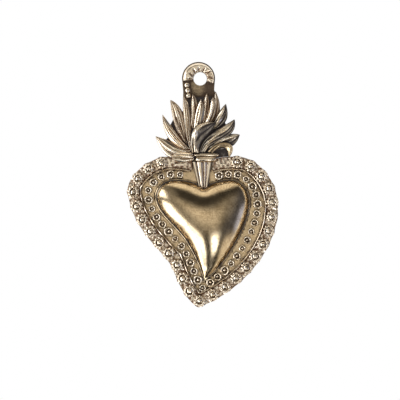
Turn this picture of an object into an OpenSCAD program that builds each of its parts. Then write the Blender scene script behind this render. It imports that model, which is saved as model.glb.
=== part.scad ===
// Pressed and built-up brass heart charm: a flat sheet carries every raised piece.
// Drawn flat as seen from the front, u to the right and v up, with relief toward the viewer,
// then stood upright so that the front faces -Y. The origin is the hole's centre, on the back.

/* [Sheets] */
// Thickness of the back sheet
sheet_t = 0.8; // [0.6:0.05:1.2]
// Thickness of the border strip and of the sheet behind the flames
strip_t = 0.6; // [0.4:0.05:0.9]
// Air left between neighbouring pieces that are soldered side by side
seat_gap = 0.05; // [0.02:0.01:0.1]

/* [Hanging tab] */
// Diameter of the hole for a ring or cord
hole_d = 4; // [3:0.1:5]
// Radius of the round top of the tab
tab_r = 4.95; // [4.7:0.05:5.6]
// How far the hole was punched to the right of the tab's middle
hole_offset = 0.5; // [0:0.05:0.6]
// Sheet left bare outside the rope rim
rope_margin = 0.35; // [0.2:0.05:0.6]
// Height of the rope rim above the sheet
rope_rise = 1.1; // [0.6:0.05:1.6]
// Length of one slanted strand of the rope rim
rope_pitch = 1.65; // [1.2:0.05:2.4]
// Diameter of the beads that end the rope rim
tab_bead_d = 1.5; // [1.1:0.05:1.7]

/* [Heart] */
// From the hole's centre down to the tops of the heart's lobes
heart_drop = 30.5; // [30:0.1:34]
// The heart's axis, to the right of the hole
heart_axis = 1.1; // [0:0.1:1.6]
// Lobe tops down to the point
heart_h = 29.9; // [27:0.1:33]
// Axis to the left side
heart_left = 14.1; // [12.8:0.1:16]
// Axis to the right side
heart_right = 13.4; // [12.2:0.1:15]
// Depth of the cleft below the lobe tops
cleft_depth = 2.4; // [1.6:0.1:3.2]
// Height of the heart's crown above the back of the charm
heart_crown = 6.2; // [5:0.1:8]
// Wall of the pressed heart
heart_wall = 0.5; // [0.3:0.05:0.7]
// Width of the flat rim round the heart
rim_w = 0.6; // [0.4:0.05:0.65]
// Height of that rim above the sheet
rim_rise = 0.5; // [0.35:0.05:0.7]

/* [Border] */
// Width of the decorated band at the left side
band_left = 8.7; // [8.2:0.1:11]
// Width of the band at the right side
band_right = 8.8; // [8.2:0.1:11]
// Width of the band over the lobes
band_top = 7.2; // [7:0.1:8]
// Width of the band under the point
band_tip = 8.1; // [7.6:0.1:11]
// Outline to the middle of the rosette row
rosette_inset = 1.7; // [1.66:0.02:1.8]
// Diameter of a rosette
rosette_d = 3.2; // [2.8:0.05:3.3]
// Diameter of the bead in a rosette
rosette_bead_d = 1.3; // [1.1:0.05:1.6]
// Height of a rosette's bead above the strip
rosette_rise = 1.1; // [0.8:0.05:1.5]
// Petals round each bead
rosette_petals = 8; // [6:1:10]
// Least spacing of the rosettes
rosette_pitch = 4.15; // [3.9:0.05:5]
// How far each scallop stands out past the band
scallop_out = 0.3; // [0.1:0.05:0.45]
// Outline to the middle of the divider wire
divider_inset = 3.75; // [3.7:0.05:3.9]
// Width of the divider wire
divider_w = 0.6; // [0.4:0.05:0.65]
// Height of the divider wire above the sheet
divider_rise = 1.2; // [0.8:0.05:1.6]

/* [Curls] */
// Outer diameter of a large curl
curl_d = 2.25; // [1.9:0.05:2.3]
// Outer diameter of a small curl
small_curl_d = 1.7; // [1.4:0.05:1.75]
// Width of the wire in a curl
curl_wire = 0.55; // [0.4:0.05:0.6]
// Height of the curls above the sheet
curl_rise = 0.75; // [0.5:0.05:1]
// Least spacing of the curls
curl_pitch = 2.75; // [2.7:0.05:3.2]

/* [Stem and collar] */
// Width of the fluted stem under the collar
stem_top_w = 5.6; // [4.6:0.1:6]
// Width of the stem where it meets the cleft
stem_foot_w = 2.4; // [1.8:0.1:2.8]
// Number of flutes
stem_flutes = 4; // [3:1:5]
// Height of the stem above the sheet
stem_rise = 1.5; // [1:0.05:2]
// Length of the upper collar
upper_collar_l = 7.8; // [6.4:0.1:8.4]
// Thickness of the upper collar
upper_collar_d = 1.0; // [0.8:0.05:1.1]
// Length of the lower collar
lower_collar_l = 6.4; // [5.4:0.1:7.4]
// Thickness of the lower collar
lower_collar_d = 1.5; // [1.2:0.05:1.6]
// Height of the collars above the flame sheet
collar_rise = 1.5; // [1.2:0.05:2]

/* [Flames] */
// Width across the outermost leaf tips
flame_w = 25.3; // [22:0.1:28]
// Height from the upper collar to the tip of the tallest left leaf
flame_h = 16.0; // [15:0.1:16.2]
// Height of one layer of leaves
leaf_t = 0.75; // [0.5:0.05:1]
// Thickness of a leaf at its edge
leaf_edge = 0.28; // [0.2:0.02:0.4]
// How much higher a leaf stands along its left side
crest_lean = 0.25; // [0:0.05:0.4]
// How far the tips of the top leaves curl forward
tip_lift = 0.7; // [0:0.05:1.2]

/* [Hidden] */
$fn = 40;

// Colours of aged brass, from polished high spots to patina
brass = "#b59a63";
pale_brass = "#d3bf95";
dark_brass = "#7d6539";
bronze = "#5d4a2c";

// Levels of relief above the back
level_strip = sheet_t + strip_t;
level_core = level_strip + leaf_t;
level_front = level_core + leaf_t;

// Plain vector and curve helpers
function heading(a) = [cos(a), sin(a)];
function mix(a, b, t) = a + (b - a) * t;
function bezier(a, b, c, d, t) =
    pow(1 - t, 3) * a + 3 * pow(1 - t, 2) * t * b + 3 * (1 - t) * t * t * c + t * t * t * d;
function unit(v) = v / norm(v);
function across(v) = [-v[1], v[0]];

// A knot is [point, heading in, handle in, heading out, handle out], its handles as parts of
// the straight distance to the neighbouring knot
function span(a, b, n) =
    let (reach = norm(b[0] - a[0]))
    [for (j = [0:n - 1])
        bezier(a[0], a[0] + a[4] * reach * heading(a[3]), b[0] - b[2] * reach * heading(b[1]), b[0], j / n)];
function outline(knots, n) =
    [for (i = [0:len(knots) - 1]) each span(knots[i], knots[(i + 1) % len(knots)], n)];

// The heart: cleft, right lobe, right side, point, left waist, left side, left lobe
lobe_top = -heart_drop;
cleft = [heart_axis, lobe_top - cleft_depth];
heart_knots = [
    [cleft, -33, 0.29, 33, 0.33],
    [[heart_axis + 0.61 * heart_right, lobe_top], 0, 0.40, 0, 0.35],
    [[heart_axis + heart_right, lobe_top - 0.214 * heart_h], -90, 0.42, -90, 0.24],
    [[heart_axis + 0.1, lobe_top - heart_h], 217, 0.30, 97, 0.28],
    [[heart_axis - 0.348 * heart_left, lobe_top - 0.602 * heart_h], 122, 0.36, 122, 0.31],
    [[heart_axis - heart_left, lobe_top - 0.164 * heart_h], 90, 0.275, 90, 0.37],
    [[heart_axis - 0.617 * heart_left, lobe_top], 0, 0.41, 0, 0.40]
];

// The outer outline follows the heart at the band's widths
band_rise = 1.139 * band_top;
frame_knots = [
    [cleft + [-0.028 * band_top, band_rise], -12, 0.38, 12, 0.40],
    [heart_knots[1][0] + [0.194 * band_top, band_top], 0, 0.445, 0, 0.347],
    [heart_knots[2][0] + [band_right, -0.159 * band_right], -90, 0.388, -90, 0.35],
    [heart_knots[3][0] + [-0.222 * band_tip, -band_tip], 200, 0.338, 150, 0.33],
    [heart_knots[4][0] + [-0.51 * band_left, -0.965 * band_left], 112, 0.29, 112, 0.19],
    [heart_knots[5][0] + [-band_left, 0.149 * band_left], 97, 0.453, 97, 0.317],
    [heart_knots[6][0] + [-0.236 * band_top, band_top], 0, 0.34, 0, 0.43]
];

// Points round both outlines that belong together, and rows between them
fine = 30;
coarse = 12;
heart_line = outline(heart_knots, fine);
frame_line = outline(frame_knots, fine);
function ray(i) = unit(frame_line[i] - heart_line[i]);
function facing(line, i) =
    let (n = len(line), back = unit(line[i] - line[(i + n - 1) % n]), ahead = unit(line[(i + 1) % n] - line[i]))
    max(0.5, min(ray(i) * across(back), ray(i) * across(ahead)));
function inset_row(d) =
    [for (i = [0:len(frame_line) - 1]) frame_line[i] - d / facing(frame_line, i) * ray(i)];
function outset_row(d) =
    [for (i = [0:len(heart_line) - 1]) heart_line[i] + d / facing(heart_line, i) * ray(i)];
function middle_row(a, b) = [for (i = [0:len(a) - 1]) (a[i] + b[i]) / 2];

// Distance walked along a closed row, and the place and heading at a distance
function walked(row) =
    [for (i = 0, s = 0; i <= len(row); s = s + norm(row[(i + 1) % len(row)] - row[i % len(row)]), i = i + 1) s];
function spot(row, table, s) =
    [lookup(s, [for (i = [0:len(row)]) [table[i], row[i % len(row)][0]]]),
     lookup(s, [for (i = [0:len(row)]) [table[i], row[i % len(row)][1]]])];
// Places at even steps from each end to the corner at the point, as [point, heading, steps from the corner]
function run_places(row, table, from, to, n) =
    [for (k = [0:n])
        let (s = mix(from, to, k / n), p = spot(row, table, s), q = spot(row, table, s + 0.05))
        [p, atan2(q[1] - p[1], q[0] - p[0]), n - k]];
function places(row, from, to, pitch) =
    let (table = walked(row), corner = table[3 * fine], end = table[len(row)] - to,
         right = run_places(row, table, from, corner, floor((corner - from) / pitch)),
         left = run_places(row, table, end, corner, floor((end - corner) / pitch)))
    concat(right, [for (k = [0:len(left) - 2]) left[k]]);

// Solid through a stack of rings with the same number of points, closed by fans to two points
module skin(rings, first, last) {
    n = len(rings[0]);
    m = len(rings);
    points = concat([for (r = rings) each r], [first, last]);
    sides = [for (k = [0:m - 2]) for (i = [0:n - 1])
        let (a = k * n + i, b = k * n + (i + 1) % n, c = a + n, d = b + n)
        each [[a, b, d], [a, d, c]]];
    start = [for (i = [0:n - 1]) [m * n, (i + 1) % n, i]];
    end = [for (i = [0:n - 1]) [m * n + 1, (m - 1) * n + i, (m - 1) * n + (i + 1) % n]];
    polyhedron(points = points, faces = concat(sides, start, end), convexity = 6);
}

// Solid through profiles laid along a path; each end is closed by a fan from its middle
function middle(ring) = [for (c = [0:2]) [for (p = ring) p[c]] * [for (p = ring) 1] / len(ring)];
module loft(rings) {
    skin(rings, middle(rings[0]), middle(rings[len(rings) - 1]));
}

// Stands the flat drawing upright, front to -Y
module upright() {
    rotate([90, 0, 0]) children();
}

module slab(from, thick) {
    translate([0, 0, from]) linear_extrude(height = thick) children();
}

// Room that everything in the band leaves for the stem
stem_x = heart_axis - 0.5;
stem_room = stem_top_w / 2 + 0.3;

// Places of the tab, from the hole
tab_centre = [-hole_offset, 0.1];
neck_drop = 3.4;

// Back sheet with the tab, cut in one piece
module base_plate() {
    color(dark_brass) upright() difference() {
        union() {
            slab(0, sheet_t) polygon(frame_line);
            translate(tab_centre) cylinder(r = tab_r, h = sheet_t);
            slab(0, sheet_t) polygon([
                tab_centre + [-tab_r, 0], tab_centre + [tab_r, 0],
                tab_centre + [tab_r - 0.25, -neck_drop], flame_at([5.9, 14.2]), flame_at([6.2, 9.0]),
                flame_at([4.2, -4.0]), flame_at([-3.8, -4.0]), flame_at([-5.0, 9.0]), flame_at([-5.2, 14.6]),
                tab_centre + [-tab_r + 0.35, -neck_drop - 0.6]
            ]);
        }
        translate([0, 0, -sheet_t]) cylinder(d = hole_d, h = 3 * sheet_t);
    }
}

// The rosettes start and stop where the lowest leaves cover the border
rosette_row = inset_row(rosette_inset);
rosette_places = places(rosette_row, 0.403 * flame_w, 0.498 * flame_w, rosette_pitch);

// Each scallop is the arc of a circle round the nearest rosette
scallop_r = rosette_inset + scallop_out;
function scalloped(i) =
    let (p = frame_line[i], away = min([for (r = rosette_places) norm(p - r[0])]),
         out = sqrt(max(0, pow(scallop_r, 2) - pow(away, 2) + pow(rosette_inset, 2))) - rosette_inset)
    p + max(0, out) * ray(i);

// Flat strip along the edge, with a scallop under each rosette
module border_strip() {
    color(brass) upright() slab(sheet_t, strip_t) difference() {
        polygon([for (i = [0:len(frame_line) - 1]) scalloped(i)]);
        polygon(inset_row(divider_inset - divider_w / 2 - 2 * seat_gap));
        translate([stem_x - stem_room, cleft[1]]) square([2 * stem_room, 2 * band_top]);
    }
}

// A grain of metal with a round top and a flat seat
module grain(r, rise) {
    rotate_extrude() intersection() {
        translate([0, rise - r]) circle(r = r);
        square([r, rise]);
    }
}

// A bead in a ring of grains
module rosette() {
    grain_r = (rosette_d - rosette_bead_d) / 4 - seat_gap;
    grain(rosette_bead_d / 2, rosette_rise);
    for (k = [1:rosette_petals]) rotate(360 * k / rosette_petals)
        translate([rosette_d / 2 - grain_r, 0, 0]) grain(grain_r, 0.55 * rosette_rise);
}

module border_rosettes() {
    color(pale_brass) upright() for (p = rosette_places)
        translate([p[0][0], p[0][1], level_strip]) rotate(p[1]) rosette();
}

// Wire of half-round section laid along part of a closed row
function wire_ring(row, i, w, rise, base) =
    let (n = len(row), back = unit(row[i] - row[(i + n - 1) % n]), ahead = unit(row[(i + 1) % n] - row[i]),
         side = across(unit(back + ahead)))
    [for (a = [0:36:180])
        let (p = row[i] - side * w / 2 * cos(a))
        [p[0], p[1], base + (a == 0 || a == 180 ? 0 : 0.25 * rise + 0.75 * rise * sin(a))]];

divider_row = inset_row(divider_inset);
module divider_wire() {
    kept = [for (i = [0:len(divider_row) - 1])
        if (abs(divider_row[i][0] - stem_x) > stem_room + 0.3 || divider_row[i][1] < cleft[1] - 0.3 * heart_h) i];
    color(brass) upright() loft([for (i = kept) wire_ring(divider_row, i, divider_w, divider_rise, sheet_t)]);
}

// Curls lie midway between the heart's rim and the divider, and start beside the stem
curl_row = middle_row(outset_row(rim_w), inset_row(divider_inset + divider_w / 2));
curl_places = places(curl_row, stem_room + 0.8 * curl_d, stem_room + 1.87 * curl_d, curl_pitch);

module wire_arc(r, angle) {
    wire_r = curl_wire / 2;
    rotate_extrude(angle = angle) translate([r, 0]) intersection() {
        union() {
            translate([0, curl_rise - wire_r]) circle(r = wire_r);
            translate([-wire_r, 0]) square([curl_wire, curl_rise - wire_r]);
        }
        translate([-wire_r, 0]) square([curl_wire, curl_rise]);
    }
}

// A wire scroll bent round a bead
module curl(d) {
    turn_r = (d - curl_wire) / 2;
    wire_arc(turn_r, 300);
    grain(turn_r - curl_wire / 2 - seat_gap, curl_rise);
}

module curls(d, parity) {
    color(pale_brass) upright() for (p = curl_places) if (p[2] % 2 == parity)
        translate([p[0][0], p[0][1], sheet_t]) rotate(p[1] + 60) curl(d);
}

module large_curls() {
    curls(curl_d, 1);
}

module small_curls() {
    curls(small_curl_d, 0);
}

// Contours of the puffed heart shrink toward one centre and lose their corners as they rise
heart_ring = outline(heart_knots, coarse);
frame_ring = outline(frame_knots, coarse);
heart_centre = [heart_axis - 0.4, lobe_top - 0.31 * heart_h];
function softened(line, passes) =
    passes == 0 ? line : softened(
        [for (i = [0:len(line) - 1])
            (line[(i + len(line) - 1) % len(line)] + 2 * line[i] + line[(i + 1) % len(line)]) / 4],
        passes - 1);
function swell(s) = pow(1 - pow(1 - s, 2), 0.7);
function contour(line, s, top, foot) =
    [for (p = softened(line, round(24 * s)))
        let (arm = p - heart_centre, dir = unit(arm), taper = 1 + 0.5 * pow(max(0, -dir[1]), 3),
             q = heart_centre + (1 - s) * mix(arm, 0.62 * heart_right * dir, 0.8 * s * s))
        [q[0], q[1], foot + (top - foot) * pow(swell(s), taper)]];

module heart_shell() {
    inner_line = [for (p = heart_ring) p - heart_wall * unit(p - heart_centre)];
    rim_line = [for (i = [0:len(heart_ring) - 1]) heart_ring[i] + rim_w * unit(frame_ring[i] - heart_ring[i])];
    rim_top = sheet_t + rim_rise;
    outer = [for (s = [0.9, 0.76, 0.6, 0.44, 0.3, 0.19, 0.1, 0.04, 0.01]) contour(heart_ring, s, heart_crown, rim_top)];
    inner = [for (s = [0, 0.05, 0.14, 0.3, 0.55, 0.85]) contour(inner_line, s, heart_crown - heart_wall, sheet_t)];
    rim = [
        [for (i = [0:len(heart_ring) - 1]) each [concat(mix(heart_ring[i], rim_line[i], 0.15), rim_top)]],
        [for (i = [0:len(heart_ring) - 1]) each [concat(mix(heart_ring[i], rim_line[i], 0.6), rim_top)]],
        [for (p = rim_line) [p[0], p[1], sheet_t + 0.45 * rim_rise]],
        [for (p = rim_line) [p[0], p[1], sheet_t]]
    ];
    rings = concat(outer, rim, inner);
    color(brass) upright() skin([for (k = [len(rings) - 1:-1:0]) rings[k]],
        [heart_centre[0], heart_centre[1], heart_crown - heart_wall],
        [heart_centre[0], heart_centre[1], heart_crown]);
}

// Flame root, just above the upper collar; leaf points are measured from it
flame_root = [0, lobe_top + band_rise];
flame_scale = [flame_w / 25.3, flame_h / 16.0];
function flame_at(p) = flame_root + [p[0] * flame_scale[0], p[1] * flame_scale[1]];

collar_x = stem_x + 1.1;
upper_collar_v = flame_root[1] - upper_collar_d / 2 - seat_gap;
lower_collar_v = upper_collar_v - upper_collar_d / 2 - lower_collar_d / 2 - seat_gap;
stem_top_v = lower_collar_v - lower_collar_d / 2 - seat_gap;

// A collar is a round-ended bar soldered across the stem
module collar(length, thick, v) {
    end_r = thick / 2;
    upright() intersection() {
        translate([collar_x, v, level_strip + collar_rise - end_r]) {
            rotate([0, 90, 0]) cylinder(r = end_r, h = length - thick, center = true);
            for (side = [-1, 1]) translate([side * (length - thick) / 2, 0, 0]) sphere(r = end_r);
            translate([-length / 2 + end_r, -end_r, -collar_rise]) cube([length - thick, thick, collar_rise]);
        }
        translate([collar_x - length, v - thick, level_strip]) cube([2 * length, 2 * thick, 2 * collar_rise]);
    }
}

module upper_collar() {
    color(pale_brass) collar(upper_collar_l, upper_collar_d, upper_collar_v);
}

module lower_collar() {
    color(brass) collar(lower_collar_l, lower_collar_d, lower_collar_v);
}

// Tapering flutes, cut away where the heart's rim passes
module stem() {
    top_r = stem_top_w / stem_flutes / 2;
    foot_r = stem_foot_w / stem_flutes / 2;
    foot_v = cleft[1] + rim_w / 2;
    run = stem_top_v - foot_v;
    color(pale_brass) upright() difference() {
        intersection() {
            for (k = [0:stem_flutes - 1]) {
                slot = (k + 0.5) / stem_flutes - 0.5;
                top = [stem_x + slot * stem_top_w, stem_top_v];
                foot = [heart_axis - 0.2 + slot * stem_foot_w, foot_v];
                lean = atan2(top[0] - foot[0], run);
                translate([foot[0], foot_v, sheet_t + stem_rise * 0.6 - foot_r]) rotate(-lean)
                    rotate([-90, 0, 0]) cylinder(r1 = foot_r * 1.25, r2 = top_r * 1.12, h = run / cos(lean));
                translate([0, 0, sheet_t]) linear_extrude(height = stem_rise * 0.45)
                    polygon([top - [top_r * 1.05, 0], top + [top_r * 1.05, 0], foot + [foot_r, 0], foot - [foot_r, 0]]);
            }
            translate([stem_x - stem_top_w, foot_v - 1, sheet_t]) cube([2 * stem_top_w, run + 1, 3 * stem_rise]);
        }
        slab(0, 2 * heart_crown) polygon(outset_row(rim_w + seat_gap));
    }
}

// Sheet behind the flames, butted against the border strip
module flame_plate() {
    color(bronze) upright() slab(sheet_t, strip_t) difference() {
        polygon([for (p = [
            [-4.2, -1.8], [-7.6, -0.8], [-10.2, 1.4], [-10.9, 3.4], [-9.4, 5.0], [-9.2, 8.0], [-7.6, 11.0],
            [-5.2, 12.6], [-4.3, 15.6], [-2.6, 16.6], [1.2, 16.9], [3.6, 17.0], [5.2, 14.6], [6.4, 11.6],
            [7.4, 9.4], [8.2, 7.0], [9.4, 4.4], [9.5, 1.6], [8.5, -1.6], [4.4, -1.8]
        ]) flame_at(p)]);
        polygon(inset_row(-seat_gap));
        circle(r = hole_d / 2 + 1.2);
        for (k = [0:2]) translate(bead_at(k)) circle(d = tab_bead_d + 2 * seat_gap);
    }
}

// Second step of the backing, under the roots of the upper leaves
module flame_core() {
    color(bronze) upright() slab(level_strip, leaf_t) polygon([for (p = [
        [-3.0, 0.2], [-3.1, 2.0], [-4.2, 2.5], [-4.2, 3.1], [-3.6, 3.5], [-3.4, 5.0], [-3.0, 7.0], [1.4, 7.4], [2.5, 7.3],
        [3.8, 7.6], [3.9, 6.6], [2.6, 5.0], [2.4, 3.0], [1.4, 0.2]
    ]) flame_at(p)]);
}

// A leaf lies between two curved edges that run from its root to its tip, with ribs along it.
// edge = [root, first handle, second handle]; the tip is shared.
leaf_stations = 11;
leaf_columns = 8;
module leaf(left, right, tip, base, ribs = 2, lift = 0, height = leaf_t) {
    function place(e, t) = flame_at(bezier(e[0], e[1], e[2], tip, t));
    rings = [for (k = [0:leaf_stations])
        let (t = 0.97 * k / leaf_stations, a = place(left, t), b = place(right, t),
             up = lift * pow(t, 3), full = max(0, 1 - t / 0.14),
             crown = (height - leaf_edge) * (1 - 0.55 * pow(t, 3)))
        concat(
            [[b[0], b[1], base + up]],
            [for (j = [leaf_columns:-1:0])
                let (x = -1 + 2 * j / leaf_columns, p = mix(a, b, j / leaf_columns),
                     wave = 0.62 + 0.38 * cos(180 * ribs * x),
                     rise = crown * pow(max(0, 1 - x * x), 0.4) * wave * (1 - crest_lean * x))
                [p[0], p[1], base + up + mix(leaf_edge + rise, height, full)]],
            [[a[0], a[1], base + up]])];
    loft(rings);
}

module left_low_leaf() {
    color(brass) upright() leaf([[-3.3, -0.9], [-9.0, -4.2], [-12.2, 0.6]],
        [[-3.2, 0.9], [-6.0, 2.9], [-10.4, 4.2]], [-13.4, 5.1], level_strip, 3, 0.2);
}

module left_low_curl() {
    color(pale_brass) upright() leaf([[-2.6, -2.1], [-4.8, -3.1], [-7.2, -3.4]],
        [[-3.0, 0.2], [-5.2, 0.6], [-7.8, 0.4]], [-8.7, -1.2], level_core, 2, 0.1);
}

module left_mid_leaf() {
    color(brass) upright() leaf([[-4.3, 1.1], [-9.3, 2.2], [-11.4, 6.4]],
        [[-3.1, 1.3], [-5.6, 3.6], [-8.9, 8.6]], [-11.3, 11.6], level_core, 3, 0.4);
}

module left_inner_leaf() {
    color(pale_brass) upright() leaf([[-4.1, 2.75], [-5.9, 4.9], [-7.6, 7.6]],
        [[-3.85, 3.1], [-4.75, 5.1], [-6.0, 8.4]], [-7.7, 10.7], level_core, 2, 0.2);
}

module left_high_leaf() {
    color(brass) upright() leaf([[-5.0, 3.2], [-7.4, 5.8], [-8.7, 11.5]],
        [[-3.9, 3.6], [-3.6, 9.5], [-5.2, 14.6]], [-9.0, 16.0], level_strip, 3, 0.3);
}

module left_spine() {
    color(pale_brass) upright() leaf([[-2.9, 0.8], [-5.2, 6.3], [-5.2, 12.3]],
        [[-1.9, 0.8], [-3.6, 7.3], [-1.7, 13.6]], [-5.0, 16.9], level_core, 3);
}

module core_leaf_1() {
    color(dark_brass) upright() leaf([[-3.4, 7.3], [-3.0, 10.8], [-2.9, 14.6]],
        [[-1.7, 7.3], [0.3, 10.6], [0.4, 14.4]], [-2.3, 17.9], level_strip, 3);
}

module core_leaf_2() {
    color(brass) upright() leaf([[-2.3, 6.2], [-1.7, 10.7], [-1.4, 13.5]],
        [[-0.9, 6.2], [1.5, 10.1], [2.3, 12.9]], [0.2, 16.2], level_core, 2);
}

module core_leaf_3() {
    color(dark_brass) upright() leaf([[-1.4, 7.6], [0.4, 10.8], [0.1, 14.6]],
        [[0.6, 7.6], [3.1, 10.5], [3.3, 14.6]], [2.0, 18.1], level_strip, 2);
}

module core_leaf_4() {
    color(brass) upright() leaf([[-0.4, 6.2], [2.5, 10.7], [2.5, 13.8]],
        [[1.2, 6.2], [4.9, 10.5], [5.7, 14.3]], [3.8, 16.9], level_core, 2);
}

module core_leaf_5() {
    color(dark_brass) upright() leaf([[0.9, 7.9], [4.1, 10.5], [3.5, 15.2]],
        [[2.1, 7.9], [6.0, 10.8], [7.0, 13.8]], [4.6, 18.6], level_strip, 2);
}

module right_high_leaf() {
    color(dark_brass) upright() leaf([[3.1, 7.2], [4.3, 9.6], [5.3, 12.6]],
        [[3.6, 6.9], [8.2, 8.4], [8.9, 10.6]], [7.7, 14.8], level_core, 3, 0.3);
}

module right_mid_leaf() {
    color(bronze) upright() leaf([[-0.2, 0.3], [0.8, 6.4], [6.4, 7.4]],
        [[1.5, 0.3], [3.6, 4.4], [11.6, 3.6]], [10.3, 10.2], level_core, 3, 0.4);
}

module right_low_leaf() {
    color(bronze) upright() leaf([[2.7, 1.9], [4.0, 4.8], [8.2, 6.4]],
        [[1.8, 0.2], [6.5, 1.6], [10.4, 0.2]], [11.9, 5.6], level_strip, 3, 0.2);
}

module right_low_curl() {
    color(brass) upright() leaf([[2.2, 0.4], [5.0, 5.0], [13.0, 3.8]],
        [[3.8, 0.1], [5.6, 2.4], [8.8, 2.8]], [8.4, -1.7], level_core, 1, 0);
}

module front_leaf() {
    color(brass) upright() leaf([[-2.5, 0.1], [-3.8, 6.4], [-2.0, 10.2]],
        [[-0.3, 0.1], [-0.8, 4.4], [3.2, 5.0]], [4.6, 9.1], level_front, 2, tip_lift);
}

// Rope rim: a rounded moulding cut by slanted grooves, bent round the hole
rope_in = hole_d / 2 + 0.1;
rope_out = tab_r - rope_margin;
module tab_rope() {
    first = 188;
    last = -18;
    steps = ceil((first - last) * PI / 180 * (rope_in + rope_out) / 2 / rope_pitch) * 6;
    rings = [for (k = [0:steps])
        let (a = mix(first, last, k / steps), inner = rope_in * heading(a),
             outer = tab_centre + rope_out * heading(a))
        concat(
            [[inner[0], inner[1], sheet_t]],
            [for (j = [0:6])
                let (x = j / 6, p = mix(inner, outer, x), turn = 60 * k - 150 * x,
                     h = rope_rise * (0.3 + 0.7 * pow(sin(180 * x), 0.6) * (0.7 + (0.3 - 0.2 * x) * cos(turn))))
                [p[0], p[1], sheet_t + h]],
            [[outer[0], outer[1], sheet_t]])];
    color(pale_brass) upright() loft(rings);
}

// Three beads carry the rim down the left edge
bead_pitch = tab_bead_d + 0.12;
function bead_at(k) =
    [0.25 * k - hole_offset - (rope_in + rope_out) / 2 - 0.1, -1.15 - tab_bead_d / 2 - k * bead_pitch];
module tab_beads() {
    color(pale_brass) upright() for (k = [0:2])
        translate([bead_at(k)[0], bead_at(k)[1], sheet_t]) intersection() {
            translate([0, 0, 0.2]) sphere(d = tab_bead_d, $fn = 30);
            translate([-tab_bead_d, -tab_bead_d, 0]) cube(2 * tab_bead_d);
        }
}

base_plate();
border_strip();
border_rosettes();
divider_wire();
large_curls();
small_curls();
heart_shell();
stem();
lower_collar();
upper_collar();
flame_plate();
flame_core();
left_low_leaf();
left_low_curl();
left_mid_leaf();
left_inner_leaf();
left_high_leaf();
left_spine();
core_leaf_1();
core_leaf_2();
core_leaf_3();
core_leaf_4();
core_leaf_5();
right_high_leaf();
right_mid_leaf();
right_low_leaf();
right_low_curl();
front_leaf();
tab_rope();
tab_beads();
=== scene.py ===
# %% [markdown]
# # A brass heart charm with flames
# The charm is built up from pressed sheet brass: a flat back sheet with a hanging tab carries a
# decorated border, a puffed heart and a plume of ribbed flame leaves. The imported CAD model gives
# every place and size, and this script dresses it with finer shapes and an aged brass finish.

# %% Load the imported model
import math
import bmesh
import bpy
import numpy as np
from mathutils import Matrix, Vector, noise


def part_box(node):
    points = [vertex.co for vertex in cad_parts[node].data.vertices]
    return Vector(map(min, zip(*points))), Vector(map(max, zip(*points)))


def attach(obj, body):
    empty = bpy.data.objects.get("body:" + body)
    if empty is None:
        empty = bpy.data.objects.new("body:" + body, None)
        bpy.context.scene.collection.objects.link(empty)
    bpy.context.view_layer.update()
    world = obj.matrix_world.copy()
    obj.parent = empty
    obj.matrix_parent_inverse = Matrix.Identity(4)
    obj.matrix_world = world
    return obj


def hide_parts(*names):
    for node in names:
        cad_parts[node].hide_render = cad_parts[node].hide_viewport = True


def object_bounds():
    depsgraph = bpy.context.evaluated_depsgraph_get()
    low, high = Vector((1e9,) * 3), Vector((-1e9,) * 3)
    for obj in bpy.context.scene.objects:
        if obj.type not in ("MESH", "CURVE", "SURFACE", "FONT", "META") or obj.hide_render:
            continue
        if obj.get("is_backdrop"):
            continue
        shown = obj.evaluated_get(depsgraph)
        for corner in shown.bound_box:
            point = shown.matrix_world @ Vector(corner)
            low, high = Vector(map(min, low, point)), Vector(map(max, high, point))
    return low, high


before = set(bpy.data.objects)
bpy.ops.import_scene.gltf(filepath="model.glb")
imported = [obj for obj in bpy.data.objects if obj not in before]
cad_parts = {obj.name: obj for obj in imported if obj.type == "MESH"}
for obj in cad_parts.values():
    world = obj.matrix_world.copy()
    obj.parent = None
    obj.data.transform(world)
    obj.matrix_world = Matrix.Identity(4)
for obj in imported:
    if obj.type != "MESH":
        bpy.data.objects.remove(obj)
cad_low, cad_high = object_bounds()
print("CAD box in mm:", [round(1000 * (b - a), 1) for a, b in zip(cad_low, cad_high)])

# %% [markdown]
# ## From the drawing to the room
# A charm is easiest to draw flat, as a goldsmith does: u to the right, v up, and h for the relief
# toward the viewer, all in millimetres from the middle of the hole. The finished charm hangs
# upright with its front toward -Y, so a point (u, v, h) of the drawing stands at (u, -h, v).

# %% Stand the drawing up and make a piece of it
MM = 0.001


def stand(points):
    """Points (u, v, h) in millimetres as (x, y, z) in metres."""
    p = np.asarray(points, float).reshape(-1, 3)
    return np.stack([p[:, 0], -p[:, 2], p[:, 1]], 1) * MM


def link_piece(name, mesh):
    piece = bpy.data.objects.new(name, mesh)
    bpy.context.scene.collection.objects.link(piece)
    return piece


def face_outward(mesh):
    """Turns every face of a closed mesh outward."""
    work = bmesh.new()
    work.from_mesh(mesh)
    bmesh.ops.recalc_face_normals(work, faces=work.faces)
    if work.calc_volume(signed=True) < 0:
        bmesh.ops.reverse_faces(work, faces=work.faces)
    work.to_mesh(mesh)
    work.free()


def carry(mesh, label, values):
    """Gives every point of a mesh a value of its own."""
    mesh.attributes.new(label, "FLOAT", "POINT").data.foreach_set("value", values)


def smooth_to(mesh, degrees):
    """Smooth shading, with edges sharper than the angle kept crisp."""
    mesh.shade_smooth()
    mesh.set_sharp_from_angle(angle=math.radians(degrees))


def piece_from(name, points, faces, crisp):
    mesh = bpy.data.meshes.new(name)
    mesh.from_pydata(stand(points).tolist(), [], faces)
    face_outward(mesh)
    smooth_to(mesh, crisp)
    return link_piece(name, mesh)


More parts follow.
